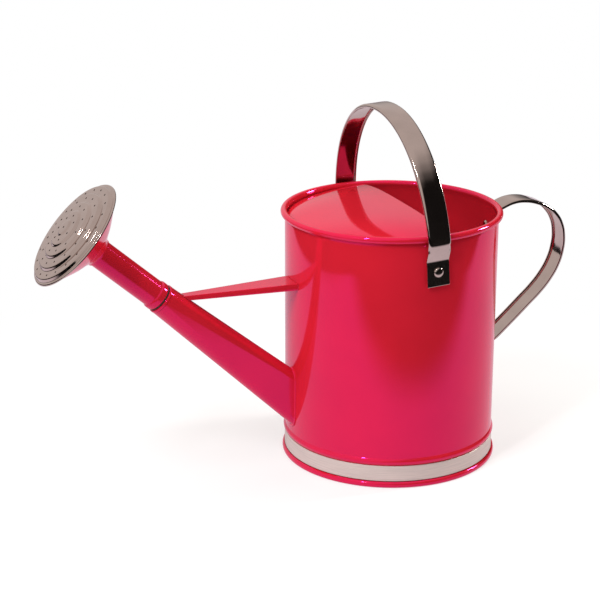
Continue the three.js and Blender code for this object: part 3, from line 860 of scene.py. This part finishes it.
def paper():
    """White paper sweep. In reflections the floor is a painted glow, pale under the can and painted
    dark in front of it and to its left."""
    material, tree, shader, where = new_material("white_paper")
    shader.inputs["Base Color"].default_value = (0.86, 0.86, 0.86, 1)
    shader.inputs["Roughness"].default_value = 0.9
    # painted reflection: a floor glow that only mirroring rays see, dark in front of the can and to
    # its left
    front = slope(tree, where, (0, 1, 0), -0.4, -0.24, (0.01, 0.009, 0.009), (0.8, 0.7, 0.76))
    left = slope(tree, where, (1, 0, 0), -0.64, -0.52, (0.01, 0.01, 0.01), (1, 1, 1))
    sheet = add(tree, "VectorMath", {0: front, 1: left}, operation="MULTIPLY")
    painted_reflection_glow = add(tree, "Emission", {"Color": sheet.outputs["Vector"]})
    # A white glow is mixed into the lit paper: near the can it is painted light that thins the
    # can's shadow, and further off it is the white backdrop.
    away = add(tree, "VectorMath", {0: where}, operation="LENGTH")
    sweep = add(tree, "MapRange", {"Value": away.outputs["Value"], "From Min": 0.2,
                                   "From Max": 0.5, "To Min": 0.55},
                interpolation_type="SMOOTHSTEP")
    white = add(tree, "Emission", {"Color": (1, 1, 1, 1)})
    paper_seen = add(tree, "MixShader", {0: sweep.outputs["Result"], 1: shader.outputs["BSDF"],
                                         2: white.outputs["Emission"]})
    # mirroring rays see the painted reflection glow instead of the paper
    mix = add(tree, "MixShader", {0: seen_by(tree, "Is Glossy Ray"),
                                  1: paper_seen.outputs["Shader"], 2: painted_reflection_glow.outputs["Emission"]})
    tree.links.new(mix.outputs["Shader"], tree.nodes["Material Output"].inputs["Surface"])
    return material


def studio():
    """A white room for the eye and for fill light, whose front is dark in reflections."""
    world = bpy.data.worlds.new("studio")
    world.use_nodes = True
    tree = world.node_tree
    where = add(tree, "TexCoord").outputs["Generated"]
    mirrored = slope(tree, where, (-1, 0.6, 1), -0.1, 0.55, (0.01, 0.009, 0.009), (0.7, 0.64, 0.62))
    fill = tree.nodes["Background"]
    fill.inputs["Color"].default_value = (1, 0.95, 0.85, 1)
    fill.inputs["Strength"].default_value = 0.34
    room = add(tree, "Background", {"Color": mirrored, "Strength": 1.0})
    white = add(tree, "Background", {"Color": (1, 1, 1, 1), "Strength": 1.0})
    first = add(tree, "MixShader", {0: seen_by(tree, "Is Glossy Ray"),
                                    1: fill.outputs["Background"], 2: room.outputs["Background"]})
    last = add(tree, "MixShader", {0: seen_by(tree, "Is Camera Ray"), 1: first.outputs["Shader"],
                                   2: white.outputs["Background"]})
    tree.links.new(last.outputs["Shader"], tree.nodes["World Output"].inputs["Surface"])
    return world


class CAN_OT_stage(bpy.types.Operator):
    """Pale floor, soft studio light and the camera"""
    bl_idname = "can.stage"
    bl_label = "Stage"

    def execute(self, context):
        bpy.ops.object.select_all(action="DESELECT")
        bpy.ops.mesh.primitive_plane_add(size=12, location=(0, 0, 0))
        floor = context.object
        floor.name = "studio_floor"
        floor.data.materials.append(paper())
        context.scene.world = studio()
        soft_box("left", (-1.3, -0.65, 1.4), (0.05, 0, 0.12), (0.7, 0.9), 30, (0.96, 0.95, 1.0),
                 False)
        soft_box("above", (0.1, 0.1, 1.7), (0.05, 0, 0.1), (1.6, 1.6), 17, (1, 0.96, 0.9), False)
        soft_box("right", (1.25, -0.08, 0.72), (0, 0, 0.15), (0.2, 0.3), 10, (1, 0.97, 0.94))
        soft_box("glint", (-0.95, -0.75, 1.5), (0, 0, 0.2), (0.05, 0.5), 5, (1, 1, 1))
        facing = [math.radians(angle) for angle in (71.59, -0.057, -21.26)]
        bpy.ops.object.camera_add(location=(-0.5070, -1.2713, 0.5984), rotation=facing)
        camera = context.object
        camera.data.lens = 102.93
        camera.data.sensor_width = 36
        context.scene.camera = camera
        context.scene.view_settings.view_transform = "Standard"
        return {"FINISHED"}


# ---------- panel and running ----------
PIECES = (CAN_OT_stage, CAN_OT_body, CAN_OT_base, CAN_OT_hood, CAN_OT_spout, CAN_OT_rose,
          CAN_OT_brace, CAN_OT_carry_handle, CAN_OT_rear_handle, CAN_OT_rivets, CAN_OT_hidden_steel)
GROUPS = {"can_sizes": CanSizes, "spout_sizes": SpoutSizes, "handle_sizes": HandleSizes,
          "can_finishes": Finishes}


class CAN_PT_panel(bpy.types.Panel):
    """Lists the steps that make the can"""
    bl_idname = "CAN_PT_panel"
    bl_label = "Watering can"
    bl_space_type = "VIEW_3D"
    bl_region_type = "UI"
    bl_category = "Watering can"

    def draw(self, context):
        for piece in PIECES:
            self.layout.operator(piece.bl_idname)
        for group in GROUPS:
            box = self.layout.box()
            values = getattr(context.scene, group)
            for key in values.__annotations__:
                box.prop(values, key)


def register():
    for group, kind in GROUPS.items():
        bpy.utils.register_class(kind)
        setattr(bpy.types.Scene, group, PointerProperty(type=kind))
    for kind in (*PIECES, CAN_PT_panel):
        bpy.utils.register_class(kind)


def unregister():
    for kind in (CAN_PT_panel, *reversed(PIECES)):
        bpy.utils.unregister_class(kind)
    for group, kind in GROUPS.items():
        delattr(bpy.types.Scene, group)
        bpy.utils.unregister_class(kind)


def main():
    register()
    for piece in PIECES:
        family, name = piece.bl_idname.split(".")
        getattr(getattr(bpy.ops, family), name)()


if __name__ == "__main__":
    main()
